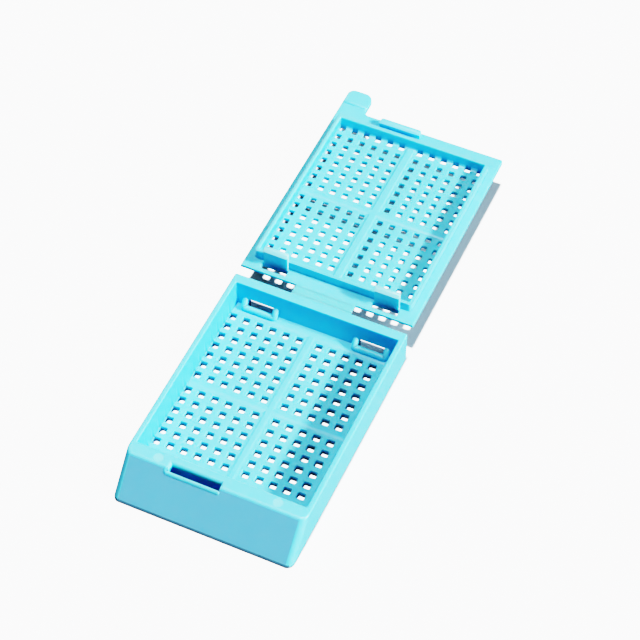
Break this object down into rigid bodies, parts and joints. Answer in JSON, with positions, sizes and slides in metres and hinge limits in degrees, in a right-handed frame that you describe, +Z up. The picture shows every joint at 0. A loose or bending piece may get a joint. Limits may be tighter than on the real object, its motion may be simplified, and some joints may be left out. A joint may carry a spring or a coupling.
{
  "type": "tissue cassette",
  "caption": "Open tissue cassette: a perforated tray with a sloped label end and a hinged perforated snap lid.",
  "frame": {"origin": "centre of the face that the tray stands on", "axes": "+X across the hinge, +Y from the sloped label end of the tray towards the open lid, +Z up out of the tray"},
  "size_m": [0.0286, 0.0838, 0.0093],
  "materials": {
    "blue_plastic": "satin moulded acetal, pale aqua blue"
  },
  "bodies": {
    "base": {"base": "blue_plastic"},
    "lid": {"lid": "blue_plastic"}
  },
  "joints": [
    {"name": "lid_hinge", "type": "hinge", "parent": "base", "child": "lid", "pos_m": [0, 0.02138, 0.0059], "axis": [1, 0, 0], "range_deg": [0, 180]}
  ]
}
